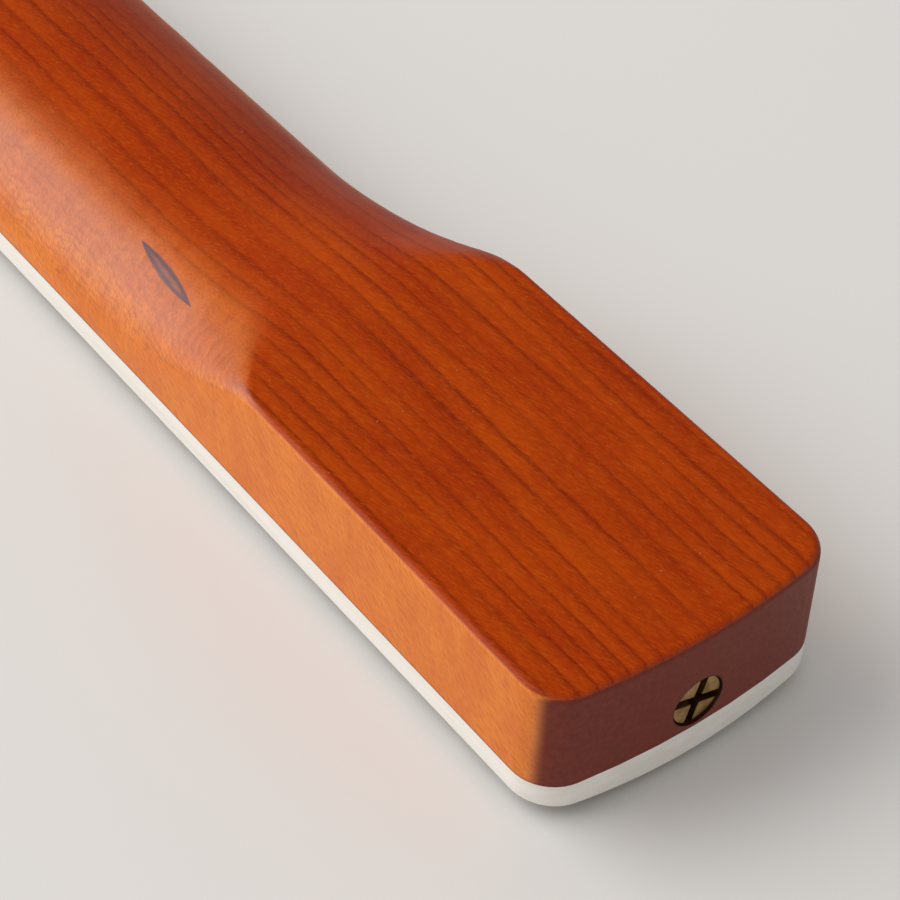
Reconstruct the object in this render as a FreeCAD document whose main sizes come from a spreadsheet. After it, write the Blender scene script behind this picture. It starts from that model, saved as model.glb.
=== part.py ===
"""Bolt-on electric guitar neck, lying face down: back up, frets on the bench.

Each sub-part is drawn with x = 0 at the heel end and x growing towards the
headstock, y across the neck and z up from the bench.  Its placement then moves
it so that the middle of the whole neck is at x = 0.  All sizes are millimetres.
"""
import FreeCAD, Part
import math
import os

import Sketcher

V = FreeCAD.Vector

SIZES = {
    # overall plan
    "neck_length": 646.0,
    "board_length": 467.0,
    "heel_width": 56.0,
    "nut_width": 42.5,
    "end_radius": 145.0,
    "corner_radius": 7.7,
    "scale_length": 647.7,
    # heel and carved back
    "wood_depth": 20.0,
    "edge_round": 1.5,
    "heel_length": 81.0,
    "carve_lead_in": 5.0,
    "carve_side_end": 101.0,
    "carve_wall_end": 123.0,
    "carve_back_end": 129.0,
    "shaft_depth": 16.2,
    "shaft_depth_nut": 14.9,
    "shaft_wall": 1.9,
    "blend_start": 424.0,
    # fingerboard, binding and markers
    "board_depth": 6.2,
    "face_radius": 241.3,
    "binding_width": 1.6,
    "binding_roll": 0.8,
    "dot_diameter": 6.35,
    "dot_depth": 1.5,
    "dot_pair_spacing": 22.0,
    "side_dot_diameter": 2.0,
    "side_dot_depth": 1.2,
    # frets
    "crown_width": 2.3,
    "crown_height": 1.1,
    "crown_bevel": 0.45,
    "tang_width": 0.55,
    "tang_depth": 1.6,
    # string nut
    "nut_thickness": 3.3,
    "nut_proud": 0.5,
    "string_spread": 35.5,
    "string_slot_depth": 0.9,
    # headstock
    "head_thickness": 14.5,
    "head_wide": 76.0,
    "head_narrow": 64.0,
    "flare_end": 512.0,
    "head_corner": 14.0,
    "crown_arc_radius": 90.0,
    "face_step_start": 473.5,
    "face_step_radius": 26.0,
    "tuner_hole": 10.0,
    "tuner_first": 529.0,
    "tuner_pitch": 38.0,
    "tuner_edge": 11.5,
    # truss rod
    "rod_diameter": 4.76,
    "rod_height": 5.5,
    "rod_start": 5.5,
    "rod_bend_start": 70.0,
    "rod_deepest": 260.0,
    "rod_dip": 2.0,
    "rod_end": 452.0,
    "channel_width": 6.4,
    "channel_start": 24.0,
    "anchor_length": 12.0,
    "anchor_width": 12.0,
    "anchor_depth": 8.0,
    "rod_nut_diameter": 8.9,
    "rod_nut_bore": 4.9,
    "rod_nut_length": 14.0,
    "rod_nut_recess": 0.45,
    "rod_nut_web": 4.6,
    "driver_slot_width": 1.6,
    "driver_slot_depth": 3.0,
    "driver_slot_turn": 16.0,
    "access_diameter": 9.5,
    "washer_bore": 5.2,
    "washer_diameter": 9.0,
    "washer_thickness": 1.2,
}

FRET_COUNT = 21
SINGLE_DOTS = (3, 5, 7, 9, 15, 17, 19, 21)
DOUBLE_DOT = 12
SIDE_PAIR_OFFSET = 3.5
STRING_GAUGES = (1.25, 1.0, 0.75, 0.55, 0.4, 0.35)
TUNERS_PER_SIDE = 3
CARVE_STEPS = 14
CARVE_FLAT = 0.4
SIDE_CURVE = 1.7
WALL_CURVE = 1.45


def level_sizes(sizes):
    """Add the heights that follow from how the neck stands on its frets."""
    sizes["face_level"] = sizes["nut_proud"] + sizes["crown_height"]
    sizes["glue_level"] = sizes["face_level"] + sizes["board_depth"]
    sizes["back_level"] = sizes["glue_level"] + sizes["wood_depth"]
    sizes["head_face_level"] = sizes["back_level"] - sizes["head_thickness"]
    sizes["axis_level"] = sizes["face_level"] + sizes["face_radius"]
    sizes["rod_level"] = sizes["glue_level"] + sizes["rod_height"]
    return sizes


S = level_sizes(SIZES)
doc = FreeCAD.newDocument("guitar_neck")
sheet = doc.addObject("Spreadsheet::Sheet", "Sizes")
for row, (alias, value) in enumerate(S.items(), start=1):
    sheet.set(f"A{row}", alias)
    sheet.set(f"B{row}", str(value))
    sheet.setAlias(f"B{row}", alias)
doc.recompute()

SUBPARTS = []


def bind(obj, **formulas):
    """Bind properties to sheet cells; a double underscore stands for a dot."""
    for prop, formula in formulas.items():
        obj.setExpression(prop.replace("__", "."), formula)
    return obj


def add(kind, name, **formulas):
    """Add one document object and bind its sizes."""
    return bind(doc.addObject(kind, name), **formulas)


def subpart(obj, label, x="0"):
    """Name a finished piece and put it in the centred frame."""
    obj.Label = label
    obj.setExpression("Placement.Base.x", f"{x} - Sizes.neck_length / 2")
    SUBPARTS.append(obj)
    return obj


def boolean(kind, name, *pieces):
    """Fuse, cut or intersect pieces; a cut takes its first two."""
    result = doc.addObject(kind, name)
    if kind == "Part::Cut":
        result.Base, result.Tool = pieces
    elif kind == "Part::Common":
        result.Base, result.Tool = pieces
    else:
        result.Shapes = list(pieces)
    return result


def origin_item(body, role):
    """Find one of a body's own origin planes or axes."""
    return next(item for item in body.Origin.OriginFeatures if item.Role == role)


def new_sketch(body, name, plane):
    """Start a sketch on one of the body's origin planes."""
    sketch = body.newObject("Sketcher::SketchObject", name)
    sketch.AttachmentSupport = [(origin_item(body, plane), "")]
    sketch.MapMode = "FlatFace"
    return sketch


def bound(sketch, constraint, formula):
    """Add a dimension to a sketch and bind it to the sheet."""
    index = sketch.addConstraint(constraint)
    sketch.setExpression(f"Constraints[{index}]", formula)


def half_width(x):
    """Half the neck's width at a distance x from the heel end."""
    taper = (S["heel_width"] - S["nut_width"]) / 2 / S["board_length"]
    return S["heel_width"] / 2 - taper * x


def fret_place(number):
    """Distance of a fret from the heel end, by the equal-tempered rule."""
    from_nut = S["scale_length"] * (1 - 2 ** (-number / 12))
    return S["board_length"] - from_nut


def marker_place(number):
    """Middle of the space behind a fret, where its marker sits."""
    return (fret_place(number) + fret_place(number - 1)) / 2


# ---------------------------------------------------------------- plan outline

TAPER = "((Sizes.heel_width - Sizes.nut_width) / Sizes.board_length / 2)"


def rounded_edges(name, base, radius, chosen):
    """Round the edges of a piece that a test chooses."""
    doc.recompute()
    result = doc.addObject("Part::Fillet", name)
    result.Base = base
    numbered = enumerate(base.Shape.Edges, start=1)
    result.Edges = [(number, radius, radius) for number, edge in numbered if chosen(edge)]
    return result


def upright(edge):
    """Tell whether an edge stands along z."""
    box = edge.BoundBox
    return box.XLength < 0.01 and box.YLength < 0.01


def outline_block(name, inset, bottom, top, length="Sizes.board_length"):
    """Tapered block with the heel's bowed end and its two rounded corners.

    The inset, a size's name or None, moves sides, end and corners inwards together.
    """
    inwards = f"Sizes.{inset}" if inset else "0"
    side_0 = f"(Sizes.heel_width / 2 - {inwards})"
    side_1 = f"({side_0} - {TAPER} * {length})"
    wedge = add(
        "Part::Wedge", f"{name}_wedge",
        Xmin=f"-{side_0}", Xmax=side_0, X2min=f"-{side_1}", X2max=side_1,
        Ymin="0", Ymax=length, Zmin=bottom, Zmax=top, Z2min=bottom, Z2max=top,
    )
    wedge.Placement.Rotation = FreeCAD.Rotation(V(0, 0, 1), -90)
    bow = add(
        "Part::Cylinder", f"{name}_bow",
        Radius=f"Sizes.end_radius - {inwards}", Height=f"{top} - {bottom} + 2",
        Placement__Base__x="Sizes.end_radius", Placement__Base__z=f"{bottom} - 1",
    )
    rest = add(
        "Part::Box", f"{name}_rest",
        Length="Sizes.board_length", Width="2 * Sizes.heel_width",
        Height=f"{top} - {bottom} + 2", Placement__Base__x="Sizes.end_radius",
        Placement__Base__y="-Sizes.heel_width", Placement__Base__z=f"{bottom} - 1",
    )
    limit = boolean("Part::MultiFuse", f"{name}_limit", bow, rest)
    bowed = boolean("Part::Common", f"{name}_bowed", wedge, limit)
    radius = S["corner_radius"] - (S[inset] if inset else 0)
    return rounded_edges(
        f"{name}_rounded", bowed, radius,
        lambda edge: upright(edge) and edge.BoundBox.XMax < S["corner_radius"],
    )


# ---------------------------------------------------------------- carved neck


def ease(t):
    """Smooth step from 0 to 1."""
    t = min(max(t, 0.0), 1.0)
    return t * t * (3 - 2 * t)


def sweep_out(t, power):
    """Curve from 0 to 1 that starts steeply and arrives level."""
    return 1 - (1 - min(max(t, 0.0), 1.0)) ** power


def led_in(run, lead):
    """The same run, but rising from 0 along a parabola over the lead on each side."""
    if run >= lead:
        return run
    return (run + lead) ** 2 / (4 * lead)


def heel_carve(x):
    """Shares of side sweep, wall drop and back drop beyond the heel block."""
    run = led_in(x - S["heel_length"], S["carve_lead_in"])
    side = sweep_out(run / (S["carve_side_end"] - S["heel_length"]), SIDE_CURVE)
    wall = sweep_out(run / (S["carve_wall_end"] - S["heel_length"]), WALL_CURVE)
    return side, wall, ease(run / (S["carve_back_end"] - S["heel_length"]))


def head_carve(x):
    """The same shares where the shaft swells into the headstock."""
    share = 1 - ease((x - S["blend_start"]) / (head_start() - S["blend_start"]))
    return share, share, share


def head_start():
    """Where the shaft ends, level with the far face of the string nut."""
    return S["board_length"] + S["nut_thickness"]


def carve_start():
    """Where the heel block ends and the carve leads in."""
    return S["heel_length"] - S["carve_lead_in"]


def shaft_depth(x):
    """Depth of the wood under the fingerboard along the plain shaft."""
    run = (x - S["carve_back_end"]) / (S["blend_start"] - S["carve_back_end"])
    run = min(max(run, 0.0), 1.0)
    return S["shaft_depth"] + (S["shaft_depth_nut"] - S["shaft_depth"]) * run


def carve_section(x, shares):
    """Cross-section: short upright walls, elliptical shoulders and a flat back."""
    side, wall, back = shares
    half = half_width(x)
    depth = S["wood_depth"] + (shaft_depth(x) - S["wood_depth"]) * back
    across = S["edge_round"] + (half - CARVE_FLAT - S["edge_round"]) * side
    drop = S["edge_round"] + (depth - S["shaft_wall"] - S["edge_round"]) * wall
    low = S["glue_level"]
    top = low + depth
    edges = [Part.makeLine(V(x, half, low), V(x, half, top - drop))]
    edges.append(shoulder(x, half - across, top - drop, across, drop, 0, 90))
    edges.append(Part.makeLine(V(x, half - across, top), V(x, across - half, top)))
    edges.append(shoulder(x, across - half, top - drop, across, drop, 90, 180))
    edges.append(Part.makeLine(V(x, -half, top - drop), V(x, -half, low)))
    edges.append(Part.makeLine(V(x, -half, low), V(x, half, low)))
    return Part.Wire(edges)


def shoulder(x, y, z, across, drop, start, end):
    """Quarter of an ellipse about (y, z), drawn as a rational curve."""
    circle = Part.ArcOfCircle(Part.Circle(V(0, 0, 0), V(0, 0, 1), 1), math.radians(start), math.radians(end))
    curve = circle.toNurbs()
    for number in range(1, curve.NbPoles + 1):
        pole = curve.getPole(number)
        curve.setPole(number, V(x, y + pole.x * across, z + pole.y * drop), curve.getWeight(number))
    return curve.toShape()


def loft_between(start, end, steps, shares):
    """Loft carved sections from one place along the neck to another."""
    places = [start + (end - start) * i / steps for i in range(steps + 1)]
    return Part.makeLoft([carve_section(x, shares(x)) for x in places], True, False)


def carved_shaft():
    """Everything between the heel block and the headstock, as three lofts."""
    solids = {
        "heel_sweep": loft_between(carve_start(), S["carve_back_end"], CARVE_STEPS, heel_carve),
        "shaft": loft_between(S["carve_back_end"], S["blend_start"], 2, lambda x: (1, 1, 1)),
        "head_sweep": loft_between(S["blend_start"], head_start(), CARVE_STEPS, head_carve),
    }
    pieces = []
    for name, shape in solids.items():
        piece = doc.addObject("Part::Feature", name)
        piece.Shape = shape
        pieces.append(piece)
    return pieces


def heel_block():
    """Square-sided block that bolts into the body, with its back edges eased."""
    block = outline_block(
        "heel", None, "Sizes.glue_level", "Sizes.back_level",
        "(Sizes.heel_length - Sizes.carve_lead_in)")
    return rounded_edges(
        "heel_block", block, S["edge_round"],
        lambda edge: edge.BoundBox.ZMin > S["back_level"] - 0.01
        and not (edge.BoundBox.XLength < 0.01 and edge.BoundBox.XMin > 1),
    )


def two_arcs(x_0, y_0, x_1, y_1):
    """Ogee of two equal arcs between points where it runs along x."""
    radius = ((x_1 - x_0) ** 2 + (y_1 - y_0) ** 2) / (4 * abs(y_1 - y_0))
    middle = V((x_0 + x_1) / 2, (y_0 + y_1) / 2, 0)
    turn = math.asin((x_1 - x_0) / 2 / radius) / 2
    side = 1 if y_1 > y_0 else -1
    first = V(x_0 + radius * math.sin(turn), y_0 + side * radius * (1 - math.cos(turn)), 0)
    second = V(x_1 - radius * math.sin(turn), y_1 - side * radius * (1 - math.cos(turn)), 0)
    return [
        Part.Arc(V(x_0, y_0, 0), first, middle).toShape(),
        Part.Arc(middle, second, V(x_1, y_1, 0)).toShape(),
    ]


def head_outline():
    """Plain symmetrical paddle: ogee flare, gently bowed sides and tip."""
    start, half = head_start(), half_width(head_start())
    wide, narrow = S["head_wide"] / 2, S["head_narrow"] / 2
    bow = S["crown_arc_radius"]
    tip = S["neck_length"]
    end = tip - bow + math.sqrt(bow**2 - narrow**2)
    belly = ((end - S["flare_end"]) ** 2 + (wide - narrow) ** 2) / (2 * (wide - narrow))
    run = (end - S["flare_end"]) / 2
    edges = [Part.makeLine(V(start, -half, 0), V(start, half, 0))]
    for side in (1, -1):
        edges += two_arcs(start, side * half, S["flare_end"], side * wide)
        between = V(S["flare_end"] + run, side * (wide - belly + math.sqrt(belly**2 - run**2)), 0)
        edges.append(
            Part.Arc(V(S["flare_end"], side * wide, 0), between, V(end, side * narrow, 0)).toShape())
    edges.append(Part.Arc(V(end, narrow, 0), V(tip, 0, 0), V(end, -narrow, 0)).toShape())
    return Part.Wire(Part.__sortEdges__(edges))


def tuner_places():
    """Centres of the tuning-machine holes, parallel to the headstock's edges."""
    run = S["neck_length"] - S["flare_end"]
    for number in range(TUNERS_PER_SIDE):
        x = S["tuner_first"] + number * S["tuner_pitch"]
        fall = (S["head_wide"] - S["head_narrow"]) / 2 * (x - S["flare_end"]) / run
        y = S["head_wide"] / 2 - fall - S["tuner_edge"]
        yield x, y
        yield x, -y


def headstock():
    """Headstock at full blank depth, before its face is cut back."""
    outline = doc.addObject("Part::Feature", "head_outline")
    outline.Shape = Part.Face(head_outline())
    outline.Placement.Base.z = S["glue_level"]
    slab = add("Part::Extrusion", "head_slab", LengthFwd="Sizes.wood_depth")
    slab.Base = outline
    slab.DirMode = "Custom"
    slab.Dir = V(0, 0, 1)
    slab.Solid = True
    tip = S["neck_length"] - S["head_corner"]
    cornered = rounded_edges(
        "head_cornered", slab, S["head_corner"],
        lambda edge: upright(edge) and edge.BoundBox.XMin > tip)
    drum = add(
        "Part::Cylinder", "face_drum",
        Radius="Sizes.face_step_radius", Height="2 * Sizes.head_wide",
        Placement__Base__x=step_end(), Placement__Base__y="Sizes.head_wide",
        Placement__Base__z="Sizes.head_face_level - Sizes.face_step_radius",
    )
    drum.Placement.Rotation = FreeCAD.Rotation(V(1, 0, 0), 90)
    waste = add(
        "Part::Box", "face_waste",
        Length="Sizes.neck_length", Width="2 * Sizes.head_wide",
        Height="Sizes.face_step_radius", Placement__Base__x=step_end(),
        Placement__Base__y="-Sizes.head_wide",
        Placement__Base__z="Sizes.head_face_level - Sizes.face_step_radius",
    )
    cut_back = boolean("Part::Cut", "head_cut_back", cornered,
                       boolean("Part::MultiFuse", "face_scoop", drum, waste))
    return rounded_edges(
        "headstock", cut_back, S["edge_round"],
        lambda edge: edge.BoundBox.ZMin > S["back_level"] - 0.01
        and edge.BoundBox.XMax > head_start() + 0.01)


def step_end():
    """Formula for where the curved step behind the nut meets the flat face."""
    step = "(Sizes.wood_depth - Sizes.head_thickness)"
    chord = f"sqrt(2 * Sizes.face_step_radius * {step} - {step} * {step})"
    return f"Sizes.face_step_start + {chord}"


def rod_line(offset):
    """Truss rod's centre line, or a line a fixed distance deeper into the wood.

    It leaves the heel level, dips towards the back in two equal bends and
    rises again to its anchor under the first fret.
    """
    x_0, x_1, x_2 = S["rod_bend_start"], S["rod_deepest"], S["rod_end"]
    turn = 2 * math.atan(S["rod_dip"] / (x_1 - x_0))
    radius = (x_1 - x_0) / 2 / math.sin(turn)
    z = S["rod_level"]
    low, high = V(x_0, 0, z + radius), V(x_1, 0, z + S["rod_dip"] - radius)
    last = math.asin((x_2 - x_1) / radius)

    def on(centre, reach, angle, side):
        return centre + V(reach * math.sin(angle), 0, side * reach * math.cos(angle))

    inner, outer = radius - offset, radius + offset
    start = V(S["rod_start"], 0, z + offset)
    bend = on(low, inner, 0, -1)
    turned = on(low, inner, turn, -1)
    return [
        Part.makeLine(start, bend),
        Part.Arc(bend, on(low, inner, turn / 2, -1), turned).toShape(),
        Part.Arc(turned, on(high, outer, (last - turn) / 2, 1), on(high, outer, last, 1)).toShape(),
    ]


def channel_form(name, offset, start, end):
    """Bar between the glue face and a line along the rod, one channel wide."""
    line = Part.Wire(rod_line(offset))
    first, last = line.OrderedVertexes[0].Point, line.OrderedVertexes[-1].Point
    low = S["glue_level"]
    rim = [first, V(first.x, 0, low), V(last.x, 0, low), last]
    sides = [Part.makeLine(a, b) for a, b in zip(rim, rim[1:])]
    face = Part.Face(Part.Wire(Part.__sortEdges__(line.Edges + sides)))
    half = S["channel_width"] / 2
    face.translate(V(0, -half, 0))
    whole = face.extrude(V(0, 2 * half, 0))
    limit = Part.makeBox(end - start, 4 * half, S["wood_depth"], V(start, -2 * half, low))
    piece = doc.addObject("Part::Feature", name)
    piece.Shape = whole.common(limit)
    return piece


def neck():
    """One piece of maple from heel to headstock tip."""
    whole = boolean("Part::MultiFuse", "neck_carved", heel_block(), *carved_shaft(), headstock())
    access = add(
        "Part::Cylinder", "access_bore", Radius="Sizes.access_diameter / 2",
        Height=f"{access_depth()} + 1", Placement__Base__x="-1",
        Placement__Base__z="Sizes.rod_level",
    )
    pilot = add(
        "Part::Cylinder", "pilot_bore", Radius="Sizes.rod_diameter / 2",
        Height="Sizes.channel_start + 1", Placement__Base__z="Sizes.rod_level",
    )
    for bore in (access, pilot):
        bore.Placement.Rotation = FreeCAD.Rotation(V(0, 1, 0), 90)
    cuts = [access, pilot, anchor_block("anchor_pocket")]
    cuts.append(channel_form("rod_channel", S["rod_diameter"] / 2, S["channel_start"], S["rod_end"]))
    for number, (x, y) in enumerate(tuner_places(), start=1):
        hole = add(
            "Part::Cylinder", f"tuner_hole_{number}", Radius="Sizes.tuner_hole / 2",
            Height="Sizes.wood_depth + 2", Placement__Base__z="Sizes.head_face_level - 1",
        )
        hole.Placement.Base.x = x
        hole.Placement.Base.y = y
        cuts.append(hole)
    tools = boolean("Part::MultiFuse", "neck_cuts", *cuts)
    subpart(boolean("Part::Cut", "neck_part", whole, tools), "neck")


# ---------------------------------------------------------------- truss rod


def access_depth():
    """Formula for the depth of the heel bore: recess, nut and washer."""
    return "(Sizes.rod_nut_recess + Sizes.rod_nut_length + Sizes.washer_thickness)"


def anchor_block(name):
    """Block that the rod's far end screws into."""
    return add(
        "Part::Box", name,
        Length="Sizes.anchor_length", Width="Sizes.anchor_width", Height="Sizes.anchor_depth",
        Placement__Base__x="Sizes.rod_end - Sizes.anchor_length",
        Placement__Base__y="-Sizes.anchor_width / 2", Placement__Base__z="Sizes.glue_level",
    )


def truss_rod():
    """Bent steel rod, its anchor, and the strip glued over it."""
    radius = S["rod_diameter"] / 2
    circle = Part.Circle(V(S["rod_start"], 0, S["rod_level"]), V(1, 0, 0), radius)
    rod = doc.addObject("Part::Feature", "truss_rod_part")
    rod.Shape = Part.Wire(rod_line(0)).makePipeShell([Part.Wire(circle.toShape())], True, False)
    subpart(rod, "truss_rod")
    thread = doc.addObject("Part::Feature", "anchor_thread")
    thread.Shape = rod.Shape
    anchor = boolean("Part::Cut", "anchor_part", anchor_block("anchor_solid"), thread)
    subpart(anchor, "truss_rod_anchor")
    end = S["rod_end"] - S["anchor_length"]
    subpart(channel_form("filler_part", -radius, S["channel_start"], end), "rod_filler_strip")


def truss_rod_washer():
    """Plain washer between the adjusting nut and the bottom of its bore."""
    x = "Sizes.rod_nut_recess + Sizes.rod_nut_length"
    disc = add("Part::Cylinder", "washer_disc", Radius="Sizes.washer_diameter / 2",
               Height="Sizes.washer_thickness")
    hole = add("Part::Cylinder", "washer_hole", Radius="Sizes.washer_bore / 2",
               Height="Sizes.washer_thickness")
    washer = boolean("Part::Cut", "washer_part", disc, hole)
    washer.Placement.Rotation = FreeCAD.Rotation(V(0, 1, 0), 90)
    bind(washer, Placement__Base__z="Sizes.rod_level")
    subpart(washer, "truss_rod_washer", x)


def slot_sketch(body, name, length, width):
    """Rectangle about the origin of the body's YZ plane."""
    sketch = new_sketch(body, name, "YZ_Plane")
    corners = [V(-1, -1, 0), V(1, -1, 0), V(1, 1, 0), V(-1, 1, 0)]
    for a, b in zip(corners, corners[1:] + corners[:1]):
        sketch.addGeometry(Part.LineSegment(a, b))
    for side in range(4):
        sketch.addConstraint(Sketcher.Constraint("Coincident", side, 2, (side + 1) % 4, 1))
        kind = "Horizontal" if side % 2 == 0 else "Vertical"
        sketch.addConstraint(Sketcher.Constraint(kind, side))
    sketch.addConstraint(Sketcher.Constraint("Symmetric", 0, 1, 2, 1, -1, 1))
    bound(sketch, Sketcher.Constraint("DistanceX", 0, 1, 0, 2, 2.0), length)
    bound(sketch, Sketcher.Constraint("DistanceY", 1, 1, 1, 2, 2.0), width)
    return sketch


def round_sketch(body, name, diameter):
    """Circle about the origin of the body's YZ plane."""
    sketch = new_sketch(body, name, "YZ_Plane")
    sketch.addGeometry(Part.Circle(V(0, 0, 0), V(0, 0, 1), 1))
    sketch.addConstraint(Sketcher.Constraint("Coincident", 0, 3, -1, 1))
    bound(sketch, Sketcher.Constraint("Diameter", 0, 2.0), diameter)
    return sketch


def truss_rod_nut():
    """Brass adjusting nut: blind bore inside, crossed driver slots outside."""
    body = doc.addObject("PartDesign::Body", "rod_nut")
    barrel = body.newObject("PartDesign::Pad", "barrel")
    barrel.Profile = round_sketch(body, "barrel_round", "Sizes.rod_nut_diameter")
    bind(barrel, Length="Sizes.rod_nut_length")
    across = "Sizes.rod_nut_diameter + 1"
    slots = {
        "slot_a": slot_sketch(body, "slot_a_shape", across, "Sizes.driver_slot_width"),
        "slot_b": slot_sketch(body, "slot_b_shape", "Sizes.driver_slot_width", across),
    }
    for name, sketch in slots.items():
        slot = body.newObject("PartDesign::Pocket", name)
        slot.Profile = sketch
        slot.Reversed = True
        bind(slot, Length="Sizes.driver_slot_depth")
    bore = body.newObject("PartDesign::Pocket", "thread_bore")
    bore.Profile = round_sketch(body, "thread_bore_round", "Sizes.rod_nut_bore")
    bind(bore.Profile[0], AttachmentOffset__Base__z="Sizes.rod_nut_web")
    bore.Reversed = True
    bind(bore, Length="Sizes.rod_nut_length")
    body.Placement.Rotation = FreeCAD.Rotation(V(1, 0, 0), S["driver_slot_turn"])
    bind(body, Placement__Base__z="Sizes.rod_level")
    subpart(body, "truss_rod_nut", "Sizes.rod_nut_recess")


# ---------------------------------------------------------------- frets


def crown_sketch(body):
    """Low dome on the board's face, drawn below the radius axis."""
    sketch = new_sketch(body, "crown_shape", "XZ_Plane")
    face, half, height = -S["face_radius"], S["crown_width"] / 2, S["crown_height"]
    left, right, top = V(-half, face, 0), V(half, face, 0), V(0, face - height, 0)
    sketch.addGeometry(Part.LineSegment(left, right))
    sketch.addGeometry(Part.Arc(left, top, right))
    sketch.addConstraint(Sketcher.Constraint("Coincident", 1, 1, 0, 1))
    sketch.addConstraint(Sketcher.Constraint("Coincident", 1, 2, 0, 2))
    sketch.addConstraint(Sketcher.Constraint("Symmetric", 0, 1, 0, 2, -2))
    bound(sketch, Sketcher.Constraint("DistanceX", 0, 1, 0, 2, 2 * half), "Sizes.crown_width")
    bound(sketch, Sketcher.Constraint("DistanceY", 0, 1, -1, 1, -face), "Sizes.face_radius")
    radius = (half**2 + height**2) / (2 * height)
    size = "(Sizes.crown_width ^ 2 / 4 + Sizes.crown_height ^ 2) / 2 / Sizes.crown_height"
    bound(sketch, Sketcher.Constraint("Radius", 1, radius), size)
    return sketch


def tang_sketch(body):
    """Thin blade that is pressed into the board's slot."""
    sketch = new_sketch(body, "tang_shape", "XZ_Plane")
    half, low = S["tang_width"] / 2, -S["face_radius"]
    high = low + S["tang_depth"]
    corners = [V(-half, low, 0), V(half, low, 0), V(half, high, 0), V(-half, high, 0)]
    for a, b in zip(corners, corners[1:] + corners[:1]):
        sketch.addGeometry(Part.LineSegment(a, b))
    for side in range(4):
        sketch.addConstraint(Sketcher.Constraint("Coincident", side, 2, (side + 1) % 4, 1))
    for side in (0, 2):
        sketch.addConstraint(Sketcher.Constraint("Symmetric", side, 1, side, 2, -2))
    bound(sketch, Sketcher.Constraint("DistanceX", 0, 1, 0, 2, 2 * half), "Sizes.tang_width")
    bound(sketch, Sketcher.Constraint("DistanceX", 2, 2, 2, 1, 2 * half), "Sizes.tang_width")
    bound(sketch, Sketcher.Constraint("DistanceY", 0, 1, -1, 1, -low), "Sizes.face_radius")
    bound(sketch, Sketcher.Constraint("DistanceY", 1, 1, 1, 2, high - low), "Sizes.tang_depth")
    return sketch


def bevel_ends(body, crown):
    """Bevel the two end arcs of a fret's crown."""
    doc.recompute()
    edges = []
    for number, edge in enumerate(crown.Shape.Edges, start=1):
        box = edge.BoundBox
        domed = isinstance(edge.Curve, Part.Circle) and box.XLength > S["crown_width"] - 0.01
        if domed and edge.Curve.Radius < S["crown_width"]:
            edges.append(f"Edge{number}")
    bevel = body.newObject("PartDesign::Chamfer", "bevel")
    bevel.Base = (crown, edges)
    bind(bevel, Size="Sizes.crown_bevel")
    return bevel


def fret(number):
    """One fret: a domed crown and its tang, both stopped at the binding's inner side."""
    body = doc.addObject("PartDesign::Body", f"fret_{number:02d}_body")
    x = fret_place(number)
    reach = half_width(x) - S["binding_width"]
    for name, draw in (("crown", crown_sketch), ("tang", tang_sketch)):
        turn = body.newObject("PartDesign::Revolution", name)
        turn.Profile = draw(body)
        turn.ReferenceAxis = (origin_item(body, "X_Axis"), [""])
        turn.Midplane = True
        turn.Angle = 2 * math.degrees(math.asin(reach / S["face_radius"]))
        if name == "crown":
            bevel_ends(body, turn)
    bind(body, Placement__Base__z="Sizes.axis_level")
    return subpart(body, f"fret_{number:02d}", f"{x:.4f}")


# ---------------------------------------------------------------- fingerboard


def along_x(name, radius, length, x="0"):
    """Cylinder about the board's radius axis."""
    form = add("Part::Cylinder", name, Radius=radius, Height=length,
               Placement__Base__x=x, Placement__Base__z="Sizes.axis_level")
    form.Placement.Rotation = FreeCAD.Rotation(V(0, 1, 0), 90)
    return form


def marker_spots():
    """Centres of the round face markers."""
    spots = [(marker_place(number), 0.0) for number in SINGLE_DOTS]
    half = S["dot_pair_spacing"] / 2
    return spots + [(marker_place(DOUBLE_DOT), half), (marker_place(DOUBLE_DOT), -half)]


def side_spots():
    """Places of the side markers along the neck."""
    spots = [marker_place(number) for number in SINGLE_DOTS]
    middle = marker_place(DOUBLE_DOT)
    return spots + [middle - SIDE_PAIR_OFFSET, middle + SIDE_PAIR_OFFSET]


def fret_slot(number):
    """Curved saw cut that takes a fret's tang."""
    x = fret_place(number)
    reach = math.degrees(math.asin((half_width(x) - S["binding_width"]) / S["face_radius"]))
    half, low = S["tang_width"] / 2, S["face_level"]
    high = low + S["tang_depth"]
    corners = [V(x - half, 0, low - 1), V(x + half, 0, low - 1), V(x + half, 0, high), V(x - half, 0, high)]
    blade = Part.Face(Part.makePolygon(corners + corners[:1]))
    axis = V(0, 0, S["axis_level"])
    blade.rotate(axis, V(1, 0, 0), -reach)
    return blade.revolve(axis, V(1, 0, 0), 2 * reach)


def outer_low_edge(edge):
    """Tell whether an edge runs round the outside of the binding's face."""
    middle = edge.valueAt((edge.FirstParameter + edge.LastParameter) / 2)
    box = edge.BoundBox
    if box.ZMax > S["glue_level"] - S["board_depth"] / 2 or middle.x > S["board_length"] - 1:
        return False
    inset = S["binding_width"] / 2
    inner = abs(middle.y) < half_width(middle.x) - inset
    return not inner or middle.x < inset


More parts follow.
